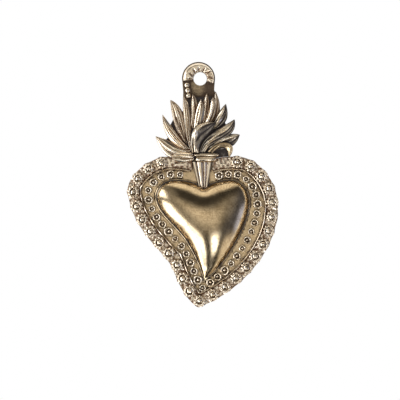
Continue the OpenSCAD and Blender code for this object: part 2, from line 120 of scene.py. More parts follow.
def lofted(name, rings, crisp=50, grooves=None):
    """A closed skin through rings with the same number of points, its ends closed by fans.

    The grooves say how much painted shade and tarnish each point takes, from 0 to 1.
    """
    rings = np.asarray(rings, float)
    count, around = rings.shape[:2]
    caps = [rings[0].mean(0)[None], rings[-1].mean(0)[None]]
    points = np.concatenate([rings.reshape(-1, 3), *caps])
    first, last = count * around, count * around + 1
    faces = []
    for k in range(count - 1):
        for i in range(around):
            a, b = k * around + i, k * around + (i + 1) % around
            faces.append((a, b, b + around, a + around))
    end = (count - 1) * around
    for i in range(around):
        faces.append((first, (i + 1) % around, i))
        faces.append((last, end + i, end + (i + 1) % around))
    piece = piece_from(name, points, faces, crisp)
    if grooves:
        carry(piece.data, "groove", [*np.ravel(grooves), *[0.5] * len(caps)])
    return piece


# %% [markdown]
# ## The outlines
# Heart and border are closed runs of Bezier spans. Each knot has a point, the heading of the line
# in and out, and the handle lengths as parts of the distance to the next knot. Few knots with good
# headings give the lively, slightly leaning outline of a hand-cut charm.

# %% Bezier spans through knots
def heading(degrees):
    a = np.radians(degrees)
    return np.array([np.cos(a), np.sin(a)])


def bezier(a, b, c, d, t):
    t = np.asarray(t, float)[..., None]
    return (1 - t) ** 3 * a + 3 * (1 - t) ** 2 * t * b + 3 * (1 - t) * t * t * c + t**3 * d


def outline(knots, steps):
    """A closed line through knots [point, heading in, handle in, heading out, handle out]."""
    line = []
    for i, (start, _, _, way_out, handle_out) in enumerate(knots):
        goal, way_in, handle_in = knots[(i + 1) % len(knots)][:3]
        start, goal = np.array(start), np.array(goal)
        reach = np.linalg.norm(goal - start)
        b = start + handle_out * reach * heading(way_out)
        c = goal - handle_in * reach * heading(way_in)
        line.append(bezier(start, b, c, goal, np.arange(steps) / steps))
    return np.concatenate(line)


# %% Heart and border, in millimetres
HEART_H, HEART_L, HEART_R = 29.9, 14.1, 13.4
BAND_L, BAND_R, BAND_TOP, BAND_TIP = 8.7, 8.8, 7.2, 8.1
AXIS, LOBE_TOP = 1.1, -30.5
BAND_RISE = 1.139 * BAND_TOP
CLEFT = np.array([AXIS, LOBE_TOP - 2.4])
stem_x = AXIS - 0.5
FINE = 30
heart_knots = [
    [CLEFT, -33, 0.29, 33, 0.33],
    [[AXIS + 0.61 * HEART_R, LOBE_TOP], 0, 0.40, 0, 0.35],
    [[AXIS + HEART_R, LOBE_TOP - 0.214 * HEART_H], -90, 0.42, -90, 0.24],
    [[AXIS + 0.1, LOBE_TOP - HEART_H], 217, 0.30, 97, 0.28],
    [[AXIS - 0.348 * HEART_L, LOBE_TOP - 0.602 * HEART_H], 122, 0.36, 122, 0.31],
    [[AXIS - HEART_L, LOBE_TOP - 0.164 * HEART_H], 90, 0.275, 90, 0.37],
    [[AXIS - 0.617 * HEART_L, LOBE_TOP], 0, 0.41, 0, 0.40],
]
band_shift = [
    ([-0.028 * BAND_TOP, BAND_RISE], -12, 0.38, 12, 0.40),
    ([0.194 * BAND_TOP, BAND_TOP], 0, 0.445, 0, 0.347),
    ([BAND_R, -0.159 * BAND_R], -90, 0.388, -90, 0.35),
    ([-0.222 * BAND_TIP, -BAND_TIP], 200, 0.338, 150, 0.33),
    ([-0.51 * BAND_L, -0.965 * BAND_L], 112, 0.29, 112, 0.19),
    ([-BAND_L, 0.149 * BAND_L], 97, 0.453, 97, 0.317),
    ([-0.236 * BAND_TOP, BAND_TOP], 0, 0.34, 0, 0.43),
]
frame_knots = [[np.array(k[0]) + s[0], *s[1:]] for k, s in zip(heart_knots, band_shift)]
heart_line = outline(heart_knots, FINE)
frame_line = outline(frame_knots, FINE)
print("border outline:", len(frame_line), "points,", np.round(np.ptp(frame_line, axis=0), 1), "mm across")

# %% [markdown]
# Rows of ornaments run at a set distance inside the border. Points of both outlines that belong
# together are joined by short rays, and a row is laid across these rays. A plain offset of the
# heart would cross itself in the cleft, which a row on the rays doesn't.

# %% Rows between the outlines
def turned(v):
    return np.stack([-v[..., 1], v[..., 0]], -1)


def units(v):
    return v / np.linalg.norm(v, axis=-1, keepdims=True)


rays = units(frame_line - heart_line)


def facing(line):
    """How squarely the rays cross a line, so that a row keeps its true distance."""
    back, ahead = units(line - np.roll(line, 1, 0)), units(np.roll(line, -1, 0) - line)
    crossing = [np.sum(rays * turned(side), 1) for side in (back, ahead)]
    return np.maximum(0.5, np.minimum(*crossing))[:, None]


def inset_row(distance):
    return frame_line - distance / facing(frame_line) * rays


def outset_row(distance):
    return heart_line + distance / facing(heart_line) * rays


def walked(row):
    """Distance walked along a closed row at each of its points, with the whole way round last."""
    steps = np.linalg.norm(np.roll(row, -1, 0) - row, axis=1)
    return np.concatenate([[0], np.cumsum(steps)])


def spot(row, table, s):
    ring = np.concatenate([row, row[:1]])
    return np.array([np.interp(s, table, ring[:, 0]), np.interp(s, table, ring[:, 1])])


def places(row, start, stop, pitch):
    """Places at even steps from both ends to the point of the heart.

    Each is (u, v, turn, steps from the point).
    """
    table = walked(row)
    corner = table[3 * FINE]
    found = []
    for end, extra in ((start, 1), (table[-1] - stop, 0)):
        count = int(abs(corner - end) // pitch)
        for k in range(count + extra):
            s = end + (corner - end) * k / count
            p, q = spot(row, table, s), spot(row, table, s + 0.05)
            found.append((*p, math.atan2(q[1] - p[1], q[0] - p[0]), count - k))
    return np.array(found)


DIVIDER_INSET, DIVIDER_W, RIM_W = 3.75, 0.6, 0.6
ROSETTE_INSET, ROSETTE_START, ROSETTE_STOP, ROSETTE_PITCH = 1.7, 10.2, 12.6, 4.15
CURL_START, CURL_STOP, CURL_PITCH = 4.9, 7.3, 2.75
rosette_places = places(inset_row(ROSETTE_INSET), ROSETTE_START, ROSETTE_STOP, ROSETTE_PITCH)
curl_row = (outset_row(RIM_W) + inset_row(DIVIDER_INSET + DIVIDER_W / 2)) / 2
curl_places = places(curl_row, CURL_START, CURL_STOP, CURL_PITCH)
print("rosettes:", len(rosette_places), " curls:", len(curl_places))

# %% [markdown]
# ## A bench for node trees
# Node trees are easier to read as sums than as wires. One small class stands for a socket, and
# plain arithmetic on it adds the Math nodes. Every other node comes from a single method.

# %% Sockets that can be added and multiplied
class Wire:
    def __init__(self, bench, socket):
        self.bench, self.socket = bench, socket

    def other(self, name):
        """Another output of the same node."""
        return Wire(self.bench, self.socket.node.outputs[name])

    def math(self, operation, *values):
        return self.bench.node("ShaderNodeMath", {"operation": operation}, dict(enumerate(values)))

    def __add__(self, value):
        return self.math("ADD", self, value)

    def __radd__(self, value):
        return self.math("ADD", value, self)

    def __sub__(self, value):
        return self.math("SUBTRACT", self, value)

    def __rsub__(self, value):
        return self.math("SUBTRACT", value, self)

    def __mul__(self, value):
        return self.math("MULTIPLY", self, value)

    def __rmul__(self, value):
        return self.math("MULTIPLY", value, self)

    def __truediv__(self, value):
        return self.math("DIVIDE", self, value)

    def most(self, value):
        return self.math("MAXIMUM", self, value)


class Bench:
    def __init__(self, tree):
        self.tree = tree

    def node(self, kind, settings=None, inputs=None, out=0):
        """Adds a node: its settings first, then the values or links of its sockets."""
        made = self.tree.nodes.new(kind)
        for key, value in (settings or {}).items():
            setattr(made, key, value)
        for key, value in (inputs or {}).items():
            if isinstance(value, Wire):
                self.tree.links.new(value.socket, made.inputs[key])
            else:
                made.inputs[key].default_value = value
        return Wire(self, made.outputs[out]) if len(made.outputs) else made

    def vector(self, operation, *values, out=0):
        return self.node("ShaderNodeVectorMath", {"operation": operation}, dict(enumerate(values)), out)

    def blend(self, factor, a, b):
        """Mixes two colours."""
        ends = {k: v if isinstance(v, Wire) else (*v, 1) for k, v in ((6, a), (7, b))}
        return self.node("ShaderNodeMix", {"data_type": "RGBA"}, {0: factor, **ends}, out=2)


# %% Geometry trees with named inputs
DENTS = 750.0


class Growth(Bench):
    """A geometry tree: takes points or a mesh in, and gives one plain piece out."""

    def __init__(self, name, **sizes):
        super().__init__(bpy.data.node_groups.new(name, "GeometryNodeTree"))
        face = self.tree.interface
        face.new_socket("Geometry", in_out="OUTPUT", socket_type="NodeSocketGeometry")
        self.keys = {}
        entries = {"Geometry": None, **sizes}
        for label, value in entries.items():
            kind = {float: "Float", int: "Int", str: "Object"}.get(type(value), "Geometry")
            made = face.new_socket(label, in_out="INPUT", socket_type="NodeSocket" + kind)
            if kind in ("Float", "Int"):
                made.default_value = value
            self.keys[label] = made.identifier
        self.entry = self.tree.nodes.new("NodeGroupInput")

    def inlet(self, label):
        return Wire(self, self.entry.outputs[label])

    def close(self, geometry, material=None, uneven=None):
        """Ends the tree: real instances, made a little uneven, with their material."""
        whole = self.node("GeometryNodeRealizeInstances", None, {0: geometry})
        if uneven:
            sway = self.node("ShaderNodeTexNoise", None, {"Scale": DENTS, "Detail": 1.0}, "Color")
            sway = self.vector("SUBTRACT", sway, (0.5, 0.5, 0.5))
            sway = self.node("ShaderNodeVectorMath", {"operation": "SCALE"}, {0: sway, "Scale": uneven})
            whole = self.node("GeometryNodeSetPosition", None, {0: whole, "Offset": sway})
        if material:
            whole = self.node("GeometryNodeSetMaterial", None, {0: whole, "Material": material})
        self.node("NodeGroupOutput", None, {0: whole})

    def grow(self, piece, **values):
        """Runs the tree on a piece and turns the result into a plain mesh."""
        modifier = piece.modifiers.new(self.tree.name, "NODES")
        modifier.node_group = self.tree
        for label, value in values.items():
            modifier[self.keys[label]] = value
        graph = bpy.context.evaluated_depsgraph_get()
        mesh = bpy.data.meshes.new_from_object(piece.evaluated_get(graph), depsgraph=graph)
        piece.modifiers.clear()
        piece.data = mesh


# %% [markdown]
# ## The finish
# Old brass charms are polished again and again by hands, while tarnish stays in the hollows, where
# shade falls as well. So every finish here is the same metal with two controls: how clean the high
# places are and how dark the hollows, painted with tarnish and shade together. A value called
# "recess" is measured on every point of the mesh further down and steers the mix. Fine scratches
# and small pits come from noise in the normal. Border, grains and most leaves turn russet in the
# hollows, the heart near-black. The leaves on the right and in front, away from the light, and the
# sheets behind the flames take a shaded copy of the flame finish: painted shade.

# %% Aged brass
CLOUDS, SPECKS, PITS = 380.0, 2600.0, 0.00006


def aged_brass(name, polished, worn, tarnish_and_shade, shine, dull, start, full, grain=0.25, mottle=0.35):
    """Polished on the high places, worn between, tarnished and painted with shade in the hollows.

    The roughness goes from shine to dull, as the recess goes from start to full.
    """
    material = bpy.data.materials.new(name)
    material.use_nodes = True
    bench = Bench(material.node_tree)
    shader = bench.tree.nodes["Principled BSDF"]
    place = bench.node("ShaderNodeTexCoord", None, None, "Object")
    recess = bench.node("ShaderNodeAttribute", {"attribute_name": "recess"}, None, "Fac")
    soft = {"Vector": place, "Scale": CLOUDS, "Detail": 4.0, "Roughness": 0.6}
    clouds = bench.node("ShaderNodeTexNoise", None, soft)
    specks = bench.node("ShaderNodeTexNoise", None, {"Vector": place, "Scale": SPECKS, "Detail": 2.0})
    uneven = recess + (clouds - 0.5) * mottle + (specks - 0.5) * 0.18
    hollow = bench.node(
        "ShaderNodeMapRange", {"interpolation_type": "SMOOTHSTEP"}, {0: uneven, 1: start, 2: full}
    )
    wear = bench.node("ShaderNodeMapRange", None, {0: clouds + (specks - 0.5) * 0.9, 1: 0.35, 2: 0.75})
    metal = bench.blend(wear, polished, worn)
    height = clouds * 0.5 + specks * 0.5
    ends = {
        # The hollows take the colour of tarnish and painted shade
        "Base Color": bench.blend(hollow, metal, tarnish_and_shade),
        "Roughness": shine + (dull - shine) * hollow + (specks - 0.5) * 0.12,
        "Metallic": 1.0 - hollow * 0.35,
        "Normal": bench.node("ShaderNodeBump", None, {"Strength": grain, "Distance": PITS, "Height": height}),
    }
    for label, wire in ends.items():
        bench.tree.links.new(wire.socket, shader.inputs[label])
    return material


CREAM = (0.97, 0.85, 0.67)
PALE = (0.87, 0.69, 0.47)
GOLD = (0.79, 0.60, 0.36)
BRASS = (0.70, 0.54, 0.33)
OLIVE = (0.54, 0.41, 0.24)
BRONZE = (0.44, 0.32, 0.18)
RUSSET = (0.26, 0.145, 0.08)
UMBER = (0.11, 0.072, 0.045)
# Near-black of tarnish and painted shade, for the hollows of the heart and of the shaded flames
SHADE_AND_TARNISH_BLACK = (0.06, 0.048, 0.044)
finishes = {
    "sheet": aged_brass("sheet_brass", GOLD, OLIVE, UMBER, 0.34, 0.6, 0.14, 0.58, 0.25, 0.2),
    "border": aged_brass("border_brass", CREAM, PALE, RUSSET, 0.25, 0.5, 0.1, 0.62),
    "grains": aged_brass("grain_brass", CREAM, PALE, RUSSET, 0.22, 0.45, 0.2, 0.75),
    "heart": aged_brass("heart_brass", BRASS, BRONZE, SHADE_AND_TARNISH_BLACK, 0.19, 0.45, 0.22, 0.6, 0.5, 0.25),
    "flames": aged_brass("flame_brass", CREAM, PALE, RUSSET, 0.21, 0.5, 0.16, 0.66, 0.12, 0.2),
    # A shaded copy of the flame finish, dark almost all over: painted shade for the leaves away from the
    # light and the sheets behind the flames
    "dark_flames": aged_brass("shaded_flame_brass", CREAM, GOLD, SHADE_AND_TARNISH_BLACK, 0.23, 0.5, 0.02, 0.46, 0.12, 0.2),
}
print("finishes:", ", ".join(finishes))

# %% [markdown]
# ## Flat sheets
# Back sheet, border strip and the stepped sheet behind the flames are already the right shape in
# the CAD model. A finish that changes over the surface needs points to hang on, so a copy of each
# is cut along a fine grid, and its front is made a little uneven, as hammered sheet is.

# %% Cut a copy of a sheet along a grid
WELD = 1e-7
SKIN_DEPTH = 1e-6


def mesh_of(work, name):
    """The mesh that a bmesh describes, which is then freed."""
    mesh = bpy.data.meshes.new(name)
    work.to_mesh(mesh)
    work.free()
    return mesh


def gridded(name, node, cell, unevenness=0.04, relief=None):
    """A copy of a CAD sheet, cut every cell and raised by the relief, all in millimetres."""
    work = bmesh.new()
    work.from_mesh(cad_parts[node].data)
    bmesh.ops.remove_doubles(work, verts=work.verts, dist=WELD)
    bmesh.ops.dissolve_limit(
        work, angle_limit=0.01, verts=work.verts, edges=work.edges, use_dissolve_boundaries=False
    )
    low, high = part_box(node)
    for axis in (0, 2):
        step = Vector((0, 0, 0))
        step[axis] = 1
        at = math.ceil(low[axis] / (cell * MM)) * cell * MM
        while at < high[axis]:
            every = work.verts[:] + work.edges[:] + work.faces[:]
            bmesh.ops.bisect_plane(work, geom=every, dist=WELD, plane_co=step * at, plane_no=step)
            at += cell * MM
    front = low.y + SKIN_DEPTH
    for vert in work.verts:
        if vert.co.y < front:
            u, v = vert.co.x / MM, vert.co.z / MM
            sway = noise.noise(Vector((u * 0.35, v * 0.35, 3.0)))
            extra = relief(u, v) if relief else 0
            vert.co.y += (abs(sway) * unevenness - extra) * MM
    bmesh.ops.triangulate(work, faces=[f for f in work.faces if len(f.verts) > 4])
    mesh = mesh_of(work, name)
    smooth_to(mesh, 50)
    return link_piece(name, mesh)


pieces = {}


def keep(piece, slot, *nodes):
    """Notes a finished piece with the slot of its finish and the CAD nodes it stands for."""
    pieces[piece.name] = (piece, slot, nodes)
    print(f"{piece.name}: {len(piece.data.polygons)} faces")


def stained_and_shaded(piece, depth, back=0.7):
    """Sets how much painted shade and tarnish the front of a sheet takes. Its back is evenly dull."""
    behind = max(v.co.y for v in piece.data.vertices) - 0.00005
    values = [depth(v.co.x / MM, v.co.z / MM) if v.co.y < behind else back for v in piece.data.vertices]
    carry(piece.data, "groove", values)
    return piece


def tab_tarnish_and_shade(u, v):
    """Painted shade and tarnish, rising toward the tab and heaviest on its right side, away from the light.
    """
    return min(1.0, max(0.0, (v + 24) / 12)) * (0.85 + 0.45 * min(1.0, max(0.0, (u + 0.5) / 2.5)))


keep(stained_and_shaded(gridded("back_sheet", "base_plate", 0.5), tab_tarnish_and_shade), "sheet", "base_plate")
# The sheets behind the flames are darkened all over with painted shade, as they lie under the leaves
for name, node in (("flame_sheet", "flame_plate"), ("flame_step", "flame_core")):
    keep(stained_and_shaded(gridded(name, node, 0.4), lambda u, v: 1.0, 0.45), "dark_flames", node)

# %% [markdown]
# The outer strip bulges under every rosette and is crusty all over, from a hundred years of small
# knocks and of solder. Its edge is fluted: short ridges run outward, about one millimetre apart.
# They follow the outline, so their place comes from the distance walked along it. Painted shade and
# tarnish lie between the lumps, along the edge and beside the stem.

# %% Border strip with bosses and a fluted edge
frame_walk = walked(frame_line)
BOSS, BOSS_R = 0.4, 2.1
FLUTE, FLUTE_PITCH, FLUTE_LENGTH = 0.16, 1.15, 1.2
DARK_EDGE, STEM_DARK_R, STEM_DARK_FROM = 1.1, 11, -28


def crust(u, v):
    """Small lumps about a millimetre across."""
    return noise.noise(Vector((u * 1.5, v * 1.5, 7.0)))


def fluted(u, v):
    """Height of the strip over its flat: bosses, crust and flutes."""
    away = np.linalg.norm(frame_line - (u, v), axis=1)
    i = int(away.argmin())
    edge = max(0.0, 1.0 - away[i] / FLUTE_LENGTH)
    near = np.linalg.norm(rosette_places[:, :2] - (u, v), axis=1).min()
    boss = BOSS * (max(0.0, 1 - (near / BOSS_R) ** 2) - 0.5)
    flute = FLUTE * edge * math.cos(2 * math.pi * frame_walk[i] / FLUTE_PITCH)
    return boss + 0.2 * crust(u, v) + flute


def between_lumps(u, v):
    """Painted shade and tarnish between the lumps, along the edge and beside the stem."""
    by_stem = 1.05 * max(0.0, 1 - abs(u - stem_x) / STEM_DARK_R) if v > STEM_DARK_FROM else 0
    by_edge = max(0.0, 1 - np.linalg.norm(frame_line - (u, v), axis=1).min() / DARK_EDGE)
    return min(1.1, max(0.0, 0.15 + by_stem + 0.75 * by_edge - 2.2 * crust(u, v)))


border_edge = gridded("border_edge", "border_strip", 0.25, 0.06, fluted)
keep(stained_and_shaded(border_edge, between_lumps), "border", "border_strip")

# %% [markdown]
# ## The puffed heart
# The heart is pressed from one sheet over a soft bed, so it swells like a soap film on a frame of
# the same outline: steep at the rim, a broad crown above, a low ridge down to the point. The film
# is found on a grid by over-relaxation, where every cell settles at the mean of its neighbours plus a
# constant push. The height of the metal is the square root of the film.

# %% A soap film over the outline
SHEET, STRIP, LEAF = 0.8, 0.6, 0.75
CROWN, RIM_RISE, WALL = 6.2, 0.5, 0.5
heart_centre = np.array([AXIS - 0.4, LOBE_TOP - 0.31 * HEART_H])
CELL, SPARE = 0.3, 3
SWEEPS, HASTE = 260, 1.92
film_low = heart_line.min(0) - SPARE * CELL
count_u, count_v = (np.ptp(heart_line, axis=0) / CELL + 2 * SPARE).astype(int)
grid_u, grid_v = np.meshgrid(
    film_low[0] + CELL * np.arange(count_u), film_low[1] + CELL * np.arange(count_v)
)


def enclosed(line, u, v):
    """True inside a closed line, where a ray to the right crosses it an odd number of times."""
    odd = np.zeros(u.shape, bool)
    for (u0, v0), (u1, v1) in zip(line, np.roll(line, -1, 0)):
        if v0 != v1:
            odd ^= ((v0 > v) != (v1 > v)) & (u < u0 + (u1 - u0) * (v - v0) / (v1 - v0))
    return odd


within = enclosed(heart_line, grid_u, grid_v)
chequer = np.add.outer(np.arange(count_v), np.arange(count_u)) % 2 == 0
film = np.zeros(within.shape)
for sweep in range(SWEEPS):
    for half_board in (within & chequer, within & ~chequer):
        around = sum(np.roll(film, step, axis) for step in (1, -1) for axis in (0, 1))
        film[half_board] += HASTE * ((around + 1) / 4 - film)[half_board]
film /= film.max()
print("film:", film.shape, "cells,", round(float(film[within].mean()), 3), "of its crown on average")


def film_at(points):
    """The film between its cells."""
    x, y = ((points - film_low) / CELL).T
    i, j = np.floor(y).astype(int), np.floor(x).astype(int)
    fy, fx = y - i, x - j
    low_edge = film[i, j] * (1 - fx) + film[i, j + 1] * fx
    high_edge = film[i + 1, j] * (1 - fx) + film[i + 1, j + 1] * fx
    return low_edge * (1 - fy) + high_edge * fy


# %% Level lines of the heart
EDGE, FOOT = 0.12, 0.02
rim_top = SHEET + RIM_RISE


def softened(line, passes):
    """A closed line with its corners worn off."""
    for _ in range(passes):
        line = (np.roll(line, 1, 0) + 2 * line + np.roll(line, -1, 0)) / 4
    return line


def drawn_in(line, s):
    """The outline drawn in toward the centre: whole at 0, a point at 1."""
    arm = softened(line, round(150 * s)) - heart_centre
    shrunk = arm + (0.62 * HEART_R * units(arm) - arm) * 0.8 * s * s
    return heart_centre + (1 - s) * shrunk


def swollen(line, s):
    """A level line with its height. Near the rim the film is taken as straight, so no grid shows."""
    flat = drawn_in(line, s)
    if s >= EDGE:
        level = film_at(flat)
    else:
        level = film_at(drawn_in(line, EDGE)) * (1.2 - 0.2 * s / EDGE) * s / EDGE
    swell = (np.sqrt(np.maximum(level, 0) + FOOT) - FOOT**0.5) / ((1 + FOOT) ** 0.5 - FOOT**0.5)
    return np.column_stack([flat, rim_top + (CROWN - rim_top) * swell])


# %% Skin of the heart
def at_height(line, h):
    return np.column_stack([line, np.full(len(line), h)])


inner_line = heart_line - WALL * units(heart_line - heart_centre)
rim_line = heart_line + RIM_W * rays
LEVELS = 56
# Painted shade in the crease at the foot of the dome, over its last three rings
FOOT_SHADE = (0.3, 0.7, 1.0)
# Along the rim: the share of its width, the height and the painted shade, darkest in the creases at both
# sides
RIM = [
    (0.1, rim_top, 1.0),
    (0.35, rim_top + 0.03, 0.9),
    (0.65, rim_top, 0.5),
    (0.88, rim_top - 0.08, 0.3),
    (1, SHEET + 0.25, 0.7),
    (1, SHEET, 1.0),
]
heart_rings = [swollen(heart_line, s) for s in 1 - np.linspace(0.02, 1, LEVELS) ** 1.5]
# The painted shade at the foot of the dome is heavier on the left
shaded_side = np.clip(0.5 - 0.8 * rays[:, 0], 0.35, 1)
even = np.ones(len(heart_line))
heart_grooves = [0 * even] * (LEVELS - len(FOOT_SHADE)) + [crease_shade * shaded_side for crease_shade in FOOT_SHADE]
for share, h, crease_shade in RIM:
    heart_rings.append(at_height(heart_line + share * (rim_line - heart_line), h))
    heart_grooves.append(crease_shade * even)
heart_rings.append(at_height(inner_line, SHEET))
heart_grooves.append(0.5 * even)
for s in (0.05, 0.14, 0.3, 0.55, 0.85):
    lining = swollen(inner_line, s)
    lining[:, 2] -= WALL
    heart_rings.append(lining)
    heart_grooves.append(0.5 * even)
keep(lofted("puffed_heart", heart_rings, 60, heart_grooves), "heart", "heart_shell")

# %% [markdown]
# ## Wire between border and field
# A half-round wire parts the outer border from the inner field. A curve with a round bevel is round
# below as well, so the wire is a loft of small arches along its row, open where the stem passes.

# %% Divider wire
STEM_TOP_W, STEM_FOOT_W, STEM_RISE = 5.6, 2.4, 1.5
STEM_ROOM = STEM_TOP_W / 2 + 0.6
WIRE_WALL, WIRE_CROWN = 0.3, 0.9
divider_row = inset_row(DIVIDER_INSET)
arches = []
for i, p in enumerate(divider_row):
    if abs(p[0] - stem_x) <= STEM_ROOM and p[1] >= CLEFT[1] - 0.3 * HEART_H:
        continue
    along = units(np.roll(divider_row, -1, 0)[i] - divider_row[i - 1])
    side = turned(along)
    arch = []
    for a in np.radians(np.arange(0, 181, 18)):
        q = p - side * DIVIDER_W / 2 * math.cos(a)
        low = a in (0, math.pi)
        arch.append((*q, SHEET + (0 if low else WIRE_WALL + WIRE_CROWN * math.sin(a))))
    arches.append(arch)
keep(lofted("divider", arches), "border", "divider_wire")

# %% [markdown]
# ## Rosettes and curls
# Each ornament is the same small stamp set down again and again. The stamp is built in a geometry
# tree and instanced on a row of points that carry their turn and size. A little random turn and
# scale keeps the row from looking like machine work.

# %% Points that carry ornaments
def seats(name, rows, h, sizes):
    """Bare points on the drawing, each with its turn and its size."""
    mesh = bpy.data.meshes.new(name)
    mesh.from_pydata(stand([(r[0], r[1], h) for r in rows]).tolist(), [], [])
    carry(mesh, "turn", [r[2] for r in rows])
    carry(mesh, "size", sizes)
    return link_piece(name, mesh)


def on_seats(growth, stamp, wobble, seed):
    """Instances a stamp, drawn with its front toward -Y, on every seat."""
    turn = growth.node("GeometryNodeInputNamedAttribute", {"data_type": "FLOAT"}, {"Name": "turn"})
    size = growth.node("GeometryNodeInputNamedAttribute", {"data_type": "FLOAT"}, {"Name": "size"})
    jitter = growth.node(
        "FunctionNodeRandomValue", {"data_type": "FLOAT"}, {2: -wobble, 3: wobble, "Seed": seed}, 1
    )
    spin = growth.node("ShaderNodeCombineXYZ", None, {"Y": 0.0 - turn + jitter})
    grown = size * (1.0 + jitter * 0.2)
    return growth.node(
        "GeometryNodeInstanceOnPoints",
        None,
        {"Points": growth.inlet("Geometry"), "Instance": stamp, "Rotation": spin, "Scale": grown},
    )


# %% The rosette: a bead in a thin ring and a ring of petals
UPRIGHT = (math.pi / 2, 0, 0)


def grain_of(growth, radius, rise, detail=2):
    """A round-topped grain: a small stretched sphere, sunk a quarter of its rise into the sheet."""
    ball = growth.node("GeometryNodeMeshIcoSphere", None, {"Radius": 1.0, "Subdivisions": detail})
    soft = growth.node("GeometryNodeSetShadeSmooth", None, {0: ball})
    scale = growth.node("ShaderNodeCombineXYZ", None, {0: radius, 1: rise * 0.62, 2: radius})
    lift = growth.node("ShaderNodeCombineXYZ", None, {1: 0.0 - rise * 0.38})
    return growth.node("GeometryNodeTransform", None, {0: soft, "Scale": scale, "Translation": lift})


def coil_of(growth, start, end, rotations, wire, height):
    """A flat coil of round wire that lies at a height above the sheet."""
    scroll = growth.node(
        "GeometryNodeCurveSpiral",
        None,
        {"Resolution": 22, "Rotations": rotations, "Start Radius": start, "End Radius": end, "Height": 0.0},
    )
    section = growth.node(
        "GeometryNodeCurvePrimitiveCircle", {"mode": "RADIUS"}, {"Resolution": 8, "Radius": wire * 0.5}
    )
    sweep = {"Curve": scroll, "Profile Curve": section, "Fill Caps": True}
    tube = growth.node("GeometryNodeCurveToMesh", None, sweep)
    soft = growth.node("GeometryNodeSetShadeSmooth", None, {0: tube})
    lift = growth.node("ShaderNodeCombineXYZ", None, {1: 0.0 - height})
    return growth.node(
        "GeometryNodeTransform", None, {0: soft, "Rotation": UPRIGHT, "Translation": lift}
    )


def joined(growth, *parts):
    stamp = growth.node("GeometryNodeJoinGeometry")
    for part in parts:
        growth.tree.links.new(part.socket, stamp.socket.node.inputs[0])
    return stamp


rosettes = Growth(
    "rosette_row", Diameter=0.0037, Bead=0.0018, Rise=0.0012, Petals=10, Uneven=0.0006, Seed=4
)
across, bead, rise = (rosettes.inlet(k) for k in ("Diameter", "Bead", "Rise"))
petal = (across - bead) * 0.24
ring = rosettes.node(
    "GeometryNodeMeshCircle", None, {"Vertices": rosettes.inlet("Petals"), "Radius": across * 0.5 - petal}
)
upright_ring = rosettes.node("GeometryNodeTransform", None, {0: ring, "Rotation": UPRIGHT})
petals = rosettes.node(
    "GeometryNodeInstanceOnPoints",
    None,
    {"Points": upright_ring, "Instance": grain_of(rosettes, petal, rise * 0.75)},
)
collar = coil_of(rosettes, bead * 0.62, bead * 0.7, 0.95, bead * 0.2, rise * 0.7)
stamp = joined(rosettes, petals, collar, grain_of(rosettes, bead * 0.5, rise, 3))
set_down = on_seats(rosettes, stamp, 0.35, rosettes.inlet("Seed"))
rosettes.close(set_down, finishes["grains"], rosettes.inlet("Uneven"))
row = seats("rosettes", rosette_places, SHEET + STRIP + BOSS * 0.8, [1.0] * len(rosette_places))
rosettes.grow(row)
keep(row, "grains", "border_rosettes")

# %% The curl: an open ring of wire round a bead
curls = Growth("curl_row", Diameter=0.0029, Wire=0.00056, Rise=0.0009, Uneven=0.0003, Seed=9)
across, wire, rise = (curls.inlet(k) for k in ("Diameter", "Wire", "Rise"))
stamp = joined(
    curls,
    coil_of(curls, (across - wire) * 0.4, (across - wire) * 0.5, 0.95, wire, rise - wire * 0.5),
    grain_of(curls, across * 0.15, rise),
)
set_down = on_seats(curls, stamp, 0.5, curls.inlet("Seed"))
curls.close(set_down, finishes["grains"], curls.inlet("Uneven"))
curl_rows = (("wide_curls", 1, "large_curls", 1.0), ("little_curls", 0, "small_curls", 0.84))
for name, parity, node, size in curl_rows:
    chosen = [r for r in curl_places if round(r[3]) % 2 == parity]
    row = seats(name, chosen, SHEET, [size] * len(chosen))
    curls.grow(row)
    keep(row, "grains", node)

# %% [markdown]
# ## Stem and collar
# A fluted stem rises out of the cleft and two round-ended bars cross it where the flames begin.
# Flutes could be cut into a plain tapered block, but a loft whose sections already have the flutes
# widens them with the stem. The bars are lofts too, because their ends close and their middle bows.

# %% Fluted stem
FLAME_ROOT = np.array([0, LOBE_TOP + BAND_RISE])
COLLAR_X = stem_x + 1.1
UPPER_L, UPPER_D, LOWER_L, LOWER_D, COLLAR_RISE, GAP = 7.8, 1.0, 6.4, 1.5, 1.5, 0.05
upper_v = FLAME_ROOT[1] - UPPER_D / 2 - GAP
lower_v = upper_v - (UPPER_D + LOWER_D) / 2 - GAP
stem_top, stem_foot = lower_v - LOWER_D / 2 - GAP, CLEFT[1] + RIM_W / 2
# The grooves put painted shade in the flutes and along both sides of the stem
stem_rings, stem_grooves = [], []
FLUTES = [-1.25, -0.62, 0.1, 0.52, 1.25]
for t in np.linspace(0, 1, 22):
    v = stem_foot + (stem_top - stem_foot) * t
    half = (STEM_FOOT_W + (STEM_TOP_W - STEM_FOOT_W) * t) / 2
    middle = (AXIS - 0.2) * (1 - t) + stem_x * t
    high = STEM_RISE * (0.7 + 0.3 * t)
    section, groove = [(middle + half, v, SHEET)], [0.6]
    for x in np.linspace(1, -1, 49):
        k = min(3, max(0, sum(x > f for f in FLUTES) - 1))
        ridge = abs(math.sin(math.pi * (x - FLUTES[k]) / (FLUTES[k + 1] - FLUTES[k]))) ** 0.4
        section.append((middle + half * x, v, SHEET + high * (0.5 + 0.5 * ridge * (1 - 0.3 * x * x))))
        groove.append(1 - ridge)
    section.append((middle - half, v, SHEET))
    stem_rings.append(section)
    stem_grooves.append(groove + [1.0])
keep(lofted("fluted_stem", stem_rings, 50, stem_grooves), "flames", "stem")

# %% Collars
BOW, DIP, ENDS = 0.12, 0.5, 12


